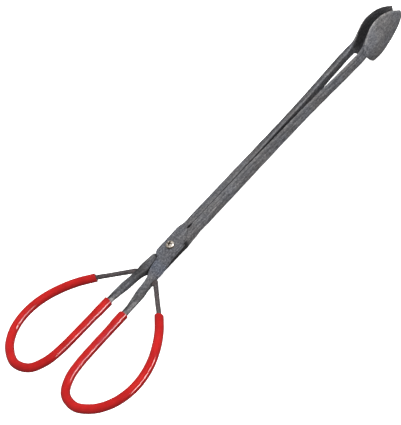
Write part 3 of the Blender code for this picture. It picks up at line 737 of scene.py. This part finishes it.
def boss_soot_and_shade(turned_over, spot, normal):
    """Darkening on the lap face that is partly painted shade, and painted shade in the slot's
    end, on the lower arm's boss where the upper one overhangs it and beside the upper one's heel."""
    # The lap face is darkened partly as painted shade; the slot's end walls get painted shade.
    lap = smoothstep(0.35, 0.05, abs(spot.z)) * smoothstep(-34.0, -27.0, spot.y)
    slot_end = smoothstep(0.3, 0.7, abs(normal.x)) * smoothstep(21.0, 22.5, spot.y)
    soot_and_shade = max(0.35 * lap, 0.95 * slot_end * (abs(spot.x) < 2.0))
    if not turned_over:
        return soot_and_shade
    # Painted shade under the upper boss's overhang and in the crevice beside its heel.
    overhung = (smoothstep(0.1, 0.6, -normal.x) * smoothstep(4.1, 3.6, spot.z)
                * smoothstep(-31.0, -27.0, spot.y) * smoothstep(15.0, 10.0, spot.y))
    across = spot.x - heel_seam(spot.y)
    beside = ((1.0 - smoothstep(0.1, 1.6 - 0.05 * spot.y, across)) * (across > -0.3)
              * smoothstep(-35.0, -30.0, spot.y) * smoothstep(-11.0, -13.0, spot.y))
    return max(soot_and_shade, 0.97 * overhung, (0.55 + 0.004 * (spot.y + 20.0) ** 2) * beside)


def tang_tint(turned_over, spot, where, lit_flank, patchy):
    """A tang's shares: browned by the weld and in front of the sleeve; ground to bright specks
    where the rod was joined, on the flank that faces the light, so partly a painted highlight;
    and given painted shade on the flank that faces away from it."""
    # The specks are on the flank that faces the light: ground steel and a painted highlight.
    ground = bell(spot.y, -67.0, 7.0) * lit_flank
    specks = 0.5 + 0.5 * noise.noise(where / 1.3)
    wear_and_highlight = 0.90 * ground * smoothstep(0.35, 0.65, 0.4 * patchy + 0.6 * specks)
    stain = 16.0 if turned_over else 9.0
    heat = max(0.95 * math.exp(-(from_weld(spot) / stain) ** 2),
               0.90 * bell(spot.y, -51.0, 14.0) * (0.5 + 0.5 * patchy))
    # Painted shade on the flank that faces away from the light, by the sleeve; a darker band in front of
    # the sleeve.
    soot_and_shade = max(0.88 * bell(spot.y, -68.0, 10.0) * (1.0 - lit_flank),
               0.55 * bell(spot.y, -51.0, 13.0) * (0.6 + 0.4 * patchy))
    if turned_over:
        soot_and_shade = max(soot_and_shade, 0.95 * math.exp(-(from_weld(spot) / 15.0) ** 2))
    return wear_and_highlight, heat, soot_and_shade


def forged_tint(form, turned_over):
    """The shares of a forging: each stretch's own, what the weld and the fire left, and painted shade and
    highlights.
    """
    side = -1.0 if turned_over else 1.0

    def tint(spot, normal):
        where = spot + form["seed"]
        patchy = 0.5 + 0.5 * noise.noise(where / 4.0)
        seen = Vector((side * normal.x, normal.y, side * normal.z))
        wear_and_highlight, heat, soot_and_shade = 0.0, 0.0, 0.0
        if spot.y > JAW_START + 6.0:
            wear_and_highlight, heat, soot_and_shade = jaw_tint(form, side, spot, normal, patchy)
        elif spot.y > REIN_START:
            wear_and_highlight, soot_and_shade = rein_tint(turned_over, spot, normal, smoothstep(0.6, 0.9, seen.z), patchy)
        elif spot.y > BOSS_START:
            soot_and_shade = boss_soot_and_shade(turned_over, spot, normal)
        # The flank that faces the light, where the tang gets its painted highlight and, opposite, its
        # painted shade.
        lit_flank = smoothstep(0.62, 0.97, 0.88 * seen.x + 0.47 * seen.z)
        tang = tang_tint(turned_over, spot, where, lit_flank, patchy)
        wear_and_highlight, heat, soot_and_shade = (max(pair) for pair in zip((wear_and_highlight, heat, soot_and_shade), tang))
        blue = 0.0
        if not turned_over:
            heat = max(heat, 0.95 * bell(spot.y, 45.0, 13.0) * (0.5 + 0.5 * patchy))
            blue = max(bell(spot.y, -25.0, 9.0), 0.45 * bell(spot.y, -8.0, 16.0))
        return {"wear_and_highlight": wear_and_highlight, "heat": heat, "soot_and_shade": soot_and_shade, "blue": blue * (0.6 + 0.4 * patchy)}

    return tint


def bore_cutter():
    """A round bar about the screw's axis, longer than the boss is thick."""
    sides = 48
    reach = 30.0
    circle = [2.0 * math.pi * index / sides for index in range(sides)]
    return mesh_from_rings("bore", [
        [Vector((BORE_RADIUS * math.cos(angle), BORE_RADIUS * math.sin(angle), z))
         for angle in circle] for z in (-reach, reach)])


def lap_cutter(form):
    """Room for the other arm's boss: a block below the lap face, whose slanted side
    follows that boss's edge a gap away."""
    seam = [(-blend(BOSS_SIDE, 8.0 + 0.5 * step) - LAP_GAP, 8.0 + 0.5 * step)
            for step in range(30)]
    outline = [(-14.0, 6.6)] + seam + [(20.0, 22.5)] + form["lap_foot"]
    return mesh_from_rings("lap", [[Vector((x, y, z)) for x, y in outline]
                                   for z in (LAP_CUTTER_BOTTOM, LAP_FACE)])


def arm_mesh(form, turned_over):
    rings = [section_ring(y, form) for y in arm_stations()]
    mesh = boolean(mesh_from_rings("arm", rings), lap_cutter(form))
    mesh = boolean(mesh, bore_cutter())
    shape_and_tint(mesh, forged_relief(form), forged_tint(form, turned_over), turned_over)
    return mesh


# ---------------------------------------------------------------- finger loops

ROD_RADIUS = 2.2
SLEEVE_RADIUS = 4.05
SLEEVE_MOUTH_RADIUS = 4.4
SLEEVE_SWELL_LENGTH = 8.0
LOOP_BARE = [(13.4, -35.0), (20.6, -41.2), (30.4, -49.6), (40.2, -57.9)]
LOOP_COVERED = [(52.3, -70.3), (61.8, -84.0), (68.4, -98.3), (71.4, -113.0),
                (70.5, -127.2), (65.4, -140.6), (55.2, -152.2), (40.0, -159.2),
                (24.4, -155.6), (15.8, -143.2), (12.7, -128.0), (11.9, -108.0)]
LOOP_TANG = [(11.7, -90.0), (11.4, -80.0)]
UPPER_SLEEVE_MOUTH = -73.0
LOWER_SLEEVE_MOUTH = -69.6
WELD_SPOT = (13.0, -35.4)
WELD_RADII = (2.5, 3.5, 2.45)
ROD_SIDES = 28
SLEEVE_SIDES = 40


def smooth_path(points, step):
    """Points about a step apart on a smooth curve through the given ones."""
    path = []
    head = [2.0 * Vector(points[0]) - Vector(points[1])]
    tail = [2.0 * Vector(points[-1]) - Vector(points[-2])]
    known = head + [Vector(point) for point in points] + tail
    for before, start, end, after in zip(known, known[1:], known[2:], known[3:]):
        pieces = max(1, round((end - start).length / step))
        for index in range(pieces):
            t = index / pieces
            path.append(0.5 * (2.0 * start + (end - before) * t
                               + (2.0 * before - 5.0 * start + 4.0 * end - after) * t ** 2
                               + (3.0 * start - before - 3.0 * end + after) * t ** 3))
    path.append(Vector(points[-1]))
    return path


def directions(path):
    """The unit direction of travel at each point of a flat path."""
    before = path[:1] + path[:-1]
    after = path[1:] + path[-1:]
    return [(end - start).normalized() for start, end in zip(before, after)]


def tube_ring(centre, along, radius, sides, tilt=0.0, shift=0.0):
    """A ring of points round a flat path; tilt slants it as an uneven cut does."""
    ring = []
    for index in range(sides):
        angle = 2.0 * math.pi * index / sides
        out, up = math.cos(angle), math.sin(angle)
        slide = shift + tilt * radius * out
        ring.append(Vector((centre.x + along.y * radius * out + along.x * slide,
                            centre.y - along.x * radius * out + along.y * slide,
                            radius * up)))
    return ring


def weld_heat(reach):
    """The shares of a rod or a bead, which the weld has browned and nothing has rubbed."""

    def tint(spot, normal):
        heat = 0.95 * math.exp(-(from_weld(spot) / reach) ** 2)
        return {"heat": heat, "wear_and_highlight": 0.0, "soot_and_shade": 0.0, "blue": 0.0}

    return tint


def rod_mesh(seed, turned_over):
    path = smooth_path(LOOP_BARE + LOOP_COVERED + [LOOP_TANG[0], (TANG_X, TANG_END - 2.0)], 1.6)
    first = path[0] + (path[0] - path[1]).normalized() * 0.6
    path = [first] + path
    rings = [tube_ring(spot, along, ROD_RADIUS, ROD_SIDES)
             for spot, along in zip(path, directions(path))]
    mesh = mesh_from_rings("rod", rings)

    def relief(spot, normal):
        where = spot + seed
        return -0.05 - 0.05 * noise.noise(where / 9.0) - 0.03 * noise.noise(where / 2.5)

    shape_and_tint(mesh, relief, weld_heat(26.0), turned_over)
    return mesh


def mouth_share(spot):
    """How far the sleeve has swollen over the tang: 0 on the rod, 1 over the tang."""
    full = TANG_END - 2.0 * GAP
    share = smoothstep(full - SLEEVE_SWELL_LENGTH, full, spot.y)
    return share if spot.x < 20.0 else 0.0


def sleeve_mesh(mouth, seed, turned_over):
    """A tube with a wall, its two ends cut a little askew and their edges softened."""
    ends = LOOP_TANG + [(11.3, mouth)]
    path = smooth_path([LOOP_BARE[-1]] + LOOP_COVERED + ends, 1.3)
    along = directions(path)
    swell = SLEEVE_MOUTH_RADIUS - SLEEVE_RADIUS
    outer = [SLEEVE_RADIUS + swell * mouth_share(spot) for spot in path]
    inner = [ROD_RADIUS + 0.12 + (TANG_RADIUS - ROD_RADIUS) * mouth_share(spot) for spot in path]
    soft, bevel = 0.42, 0.2
    arc = [math.radians(angle) for angle in (0.0, 22.5, 45.0, 67.5, 90.0)]

    def lip(index, outward):
        tilt = 0.10 if outward > 0 else -0.16
        cuts = [(outer[index] - soft * (1.0 - math.cos(angle)),
                 outward * soft * (math.sin(angle) - 1.0)) for angle in arc]
        cuts += [((outer[index] - soft + inner[index] + bevel) / 2.0, 0.0),
                 (inner[index] + bevel, 0.0), (inner[index], -bevel * outward)]
        return [tube_ring(path[index], along[index], radius, SLEEVE_SIDES, tilt, shift)
                for radius, shift in cuts]

    skin = [tube_ring(path[i], along[i], outer[i], SLEEVE_SIDES) for i in range(1, len(path) - 1)]
    bore = [tube_ring(path[i], along[i], inner[i], SLEEVE_SIDES) for i in range(1, len(path) - 1)]
    rings = skin + lip(len(path) - 1, 1.0) + bore[::-1] + lip(0, -1.0)[::-1]
    mesh = mesh_from_rings("sleeve", rings, closed=True)
    last, first = path[-1], path[0]

    def relief(spot, normal):
        where = spot + seed
        flow = 0.5 + 0.5 * noise.noise(Vector((where.x / 15.0, where.y / 15.0, where.z / 9.0)))
        return -0.09 * flow - 0.03 * (0.5 + 0.5 * noise.noise(where / 4.5))

    def tint(spot, normal):
        flat = Vector((spot.x, spot.y))
        near = min((flat - last).length, (flat - first).length)
        return {"mouth": 1.0 - smoothstep(2.5, 6.5, near)}

    shape_and_tint(mesh, relief, tint, turned_over)
    return mesh


def weld_mesh(seed, turned_over):
    """The bead that joins the rod to the tang's side, with its ripples."""
    shape = bmesh.new()
    bmesh.ops.create_uvsphere(shape, u_segments=72, v_segments=48, radius=1.0)
    bmesh.ops.scale(shape, verts=shape.verts, vec=Vector(WELD_RADII))
    bmesh.ops.translate(shape, verts=shape.verts, vec=Vector((WELD_SPOT[0] - 0.2, WELD_SPOT[1], 0.0)))
    mesh = bpy.data.meshes.new("weld")
    shape.to_mesh(mesh)
    shape.free()

    def relief(spot, normal):
        where = spot + seed
        ripple = 0.5 + 0.5 * math.sin((spot.y + 0.5 * abs(spot.z) + 0.8 * noise.noise(where / 2.0)) * 5.4)
        return -0.16 * ripple - 0.22 * (0.5 + 0.5 * noise.noise(where / 1.6))

    shape_and_tint(mesh, relief, weld_heat(14.0), turned_over)
    return mesh


# ---------------------------------------------------------------- pivot hardware

SHANK_RADIUS = 1.95
HEAD_RADIUS = 3.8
HEAD_HEIGHT = 3.2
HEAD_RIM = 1.3
RECESS_LENGTH = 4.4
RECESS_WIDTH = 0.9
RECESS_DEPTH = 1.7
RECESS_TURN = math.radians(20.0)
WASHER_RADIUS = 4.5
WASHER_THICKNESS = 0.8
NUT_ACROSS_FLATS = 7.0
NUT_HEIGHT = 3.2
THREAD_STANDOUT = 0.9
THREAD_PITCH = 0.7
HEAD_SEAT = BOSS_THICKNESS + GAP
NUT_TOP = -BOSS_THICKNESS - GAP - WASHER_THICKNESS - GAP
NUT_BOTTOM = NUT_TOP - NUT_HEIGHT
TURN_SIDES = 96


def turned(name, profile, radius_at, closed=False):
    """Rings about the screw's axis; radius_at(radius, z, angle) may vary each ring."""
    rings = []
    for radius, z in profile:
        ring = []
        for index in range(TURN_SIDES):
            angle = 2.0 * math.pi * index / TURN_SIDES
            reach = radius_at(radius, z, angle)
            ring.append(Vector((reach * math.cos(angle), reach * math.sin(angle), z)))
        rings.append(ring)
    return mesh_from_rings(name, rings, closed=closed)


def dome_height(radius):
    share = min(radius / HEAD_RADIUS, 1.0)
    return HEAD_SEAT + HEAD_RIM + (HEAD_HEIGHT - HEAD_RIM) * math.sqrt(1.0 - share * share)


def recess_cutter(turn):
    """One bar of the head's cross recess, narrowing towards its bottom."""
    top = HEAD_SEAT + HEAD_HEIGHT + 0.5
    depth = RECESS_DEPTH + 0.5
    shape = bmesh.new()
    bmesh.ops.create_cube(shape, size=1.0)
    for vert in shape.verts:
        narrow = 1.0 if vert.co.z > 0.0 else 0.45
        vert.co = Vector((vert.co.x * RECESS_LENGTH * narrow,
                          vert.co.y * RECESS_WIDTH * (0.5 + 0.5 * narrow),
                          vert.co.z * depth + top - depth / 2.0))
    bmesh.ops.rotate(shape, verts=shape.verts, matrix=Matrix.Rotation(turn, 3, "Z"))
    mesh = bpy.data.meshes.new("recess")
    shape.to_mesh(mesh)
    shape.free()
    return mesh


def from_cross(spot):
    """How far outside the cross recess a point is, seen along the screw."""
    cosine, sine = math.cos(RECESS_TURN), math.sin(RECESS_TURN)
    along, across = abs(spot.x * cosine + spot.y * sine), abs(spot.y * cosine - spot.x * sine)
    return max(max(along, across) - RECESS_LENGTH / 2.0, min(along, across) - RECESS_WIDTH / 2.0)


def screw_mesh():
    """Pan head with a cross recess, shank, and a thread on the end beyond the nut."""
    end = NUT_BOTTOM - THREAD_STANDOUT
    profile = [(0.02, HEAD_SEAT + HEAD_HEIGHT)]
    for step in range(1, 25):
        angle = math.radians(90.0 * step / 24)
        radius = HEAD_RADIUS * math.sin(angle)
        profile.append((radius, dome_height(radius)))
    profile += [(HEAD_RADIUS, HEAD_SEAT + 0.9), (HEAD_RADIUS, HEAD_SEAT + 0.12),
                (HEAD_RADIUS - 0.12, HEAD_SEAT), (SHANK_RADIUS + 0.1, HEAD_SEAT),
                (SHANK_RADIUS, HEAD_SEAT - 0.1)]
    z = NUT_TOP + 0.3
    while z > end + 0.4:
        profile.append((SHANK_RADIUS, z))
        z -= 0.07
    for step in range(5):
        angle = math.radians(90.0 * step / 4)
        profile.append((SHANK_RADIUS - 0.42 * (1.0 - math.cos(angle)),
                        end + 0.4 * (1.0 - math.sin(angle))))
    profile.append((0.02, end))

    def radius_at(radius, z, angle):
        if z > NUT_TOP or radius < SHANK_RADIUS - 0.35:
            return radius
        phase = (z / THREAD_PITCH - angle / (2.0 * math.pi)) % 1.0
        return radius - 0.40 * (1.0 - abs(2.0 * phase - 1.0)) * smoothstep(NUT_TOP, NUT_TOP - 0.4, z)

    mesh = turned("screw", profile, radius_at)
    for turn in (RECESS_TURN, RECESS_TURN + math.pi / 2.0):
        mesh = boolean(mesh, recess_cutter(turn))

    def tint(spot, normal):
        # Dirt and painted shade in the recess and round the cross, at the head's foot and on its skirt.
        reach = math.hypot(spot.x, spot.y)
        on_head = spot.z > HEAD_SEAT + HEAD_RIM - 0.8
        sunk = dome_height(reach) - spot.z if on_head else 0.0
        recess = smoothstep(0.05, 0.4, sunk) * (reach < 2.6)
        foot = 0.8 * (1.0 - smoothstep(0.1, 0.9, abs(spot.z - HEAD_SEAT)))
        skirt = 0.75 * smoothstep(3.5, 3.78, reach) * (spot.z > HEAD_SEAT - 0.1)
        round_cross = 0.85 * smoothstep(0.5, 0.1, from_cross(spot)) * (spot.z > HEAD_SEAT)
        return {"soot_and_shade": max(recess, foot, skirt, round_cross)}

    shape_and_tint(mesh, lambda spot, normal: 0.0, tint, False)
    return mesh


def washer_mesh():
    """A stamped washer: one rounded edge, one with a slight burr."""
    top = -BOSS_THICKNESS - GAP
    bottom = top - WASHER_THICKNESS
    hole = SHANK_RADIUS + 0.12
    profile = [(hole, top - 0.06), (hole + 0.06, top), (WASHER_RADIUS - 0.5, top),
               (WASHER_RADIUS - 0.08, top - 0.03), (WASHER_RADIUS, top - 0.12),
               (WASHER_RADIUS, bottom + 0.24), (WASHER_RADIUS - 0.07, bottom + 0.08),
               (WASHER_RADIUS - 0.24, bottom), (hole + 0.2, bottom), (hole, bottom + 0.15)]
    mesh = turned("washer", profile, lambda radius, z, angle: radius, closed=True)

    def tint(spot, normal):
        # Painted shade on the face against the boss.
        return {"soot_and_shade": 0.55 * smoothstep(0.4, 0.0, abs(spot.z - top))}

    shape_and_tint(mesh, lambda spot, normal: 0.0, tint, False)
    return mesh


def nut_mesh():
    """A hexagon nut with both faces' corners chamfered and its thread countersunk."""
    corner = NUT_ACROSS_FLATS / math.sqrt(3.0)
    hole = SHANK_RADIUS + 0.08
    heights = [0.0, 0.06, 0.13, 0.21, 0.30, 0.42, 0.56]
    levels = heights + [NUT_HEIGHT / 2.0] + [NUT_HEIGHT - h for h in reversed(heights)]
    profile = [(corner + 1.0, NUT_BOTTOM + level) for level in levels]
    profile += [(hole + 0.3, NUT_TOP), (hole, NUT_TOP - 0.3), (hole, NUT_BOTTOM + 0.3),
                (hole + 0.3, NUT_BOTTOM)]

    def radius_at(radius, z, angle):
        if radius < corner:
            return radius
        turn = (angle + math.pi / 6.0) % (math.pi / 3.0) - math.pi / 6.0
        flat = NUT_ACROSS_FLATS / 2.0 / math.cos(turn)
        from_face = min(z - NUT_BOTTOM, NUT_TOP - z)
        return min(flat, NUT_ACROSS_FLATS / 2.0 - 0.05 + from_face / math.tan(math.radians(32.0)))

    mesh = turned("nut", profile, radius_at, closed=True)

    def tint(spot, normal):
        # Painted shade on the face against the washer.
        return {"soot_and_shade": 0.45 * (1.0 - smoothstep(0.0, 0.5, NUT_TOP - spot.z))}

    shape_and_tint(mesh, lambda spot, normal: 0.0, tint, False)
    return mesh


# ---------------------------------------------------------------- everything together

make_camera()
make_room()

WHITE = (1.0, 1.0, 1.0)
WARM_WHITE = (1.0, 0.985, 0.97)
FILL_SIZE_M = (1.5, 1.0)
area_light("key_softbox", 128.0, 64.0, 1.8, (2.2, 2.0), 72.0, (1.0, 0.998, 0.99), "glossy")
strip = area_light("side_strip", 110.0, 10.0, 1.5, (1.6, 0.13), 52.0, WHITE, "diffuse")
fills = [area_light("steel_fill", 92.0, 14.0, 1.6, FILL_SIZE_M, 28.0, WARM_WHITE, "glossy"),
         area_light("steel_back_fill", 272.0, 14.0, 1.6, FILL_SIZE_M, 20.0, WARM_WHITE, "glossy")]
make_floor(floor_finish())

forged = steel_finish("forged_scale", (0.040, 0.040, 0.043), (0.084, 0.084, 0.090),
                      (0.165, 0.163, 0.168), 1.0, 0.42, 0.50)
drawn = steel_finish("drawn_scale", (0.045, 0.037, 0.039), (0.074, 0.063, 0.066),
                     (0.115, 0.101, 0.104), 0.45, 0.40, 0.46)
welded = steel_finish("weld_scale", (0.034, 0.027, 0.028), (0.070, 0.056, 0.058),
                      (0.115, 0.098, 0.100), 1.2, 0.35, 0.52)
red = sleeve_finish()
plated = plated_finish()

forgings = []
gleaming = []
for prefix, body, form, mouth, over in (
        ("top", "upper_half", UPPER_FORM, UPPER_SLEEVE_MOUTH, False),
        ("bottom", "lower_half", LOWER_FORM, LOWER_SLEEVE_MOUTH, True)):
    seed = form["seed"]
    forgings.append(put(prefix + "_forging", arm_mesh(form, over), forged, body,
                        prefix + "_arm"))
    put(prefix + "_rod", rod_mesh(seed, over), drawn, body, prefix + "_loop_rod")
    gleaming.append(put(prefix + "_sleeve", sleeve_mesh(mouth, seed, over), red, body,
                        prefix + "_grip_sleeve"))
    put(prefix + "_weld_bead", weld_mesh(seed, over), welded, body,
        prefix + "_return_weld", 180.0)
    hidden_weld = frame["nodes"][prefix + "_butt_weld"].material_slots[0]
    hidden_weld.link = "OBJECT"
    hidden_weld.material = welded

for name, mesh, node, sharp in (("screw_detail", screw_mesh(), "pivot_screw", 35.0),
                                ("washer_detail", washer_mesh(), "pivot_washer", 35.0),
                                ("nut_detail", nut_mesh(), "pivot_nut", 25.0)):
    gleaming.append(put(name, mesh, plated, "lower_half", node, sharp))

shine_only_on([strip], "lit_by_strip", gleaming)
shine_only_on(fills, "lit_by_fill", forgings)
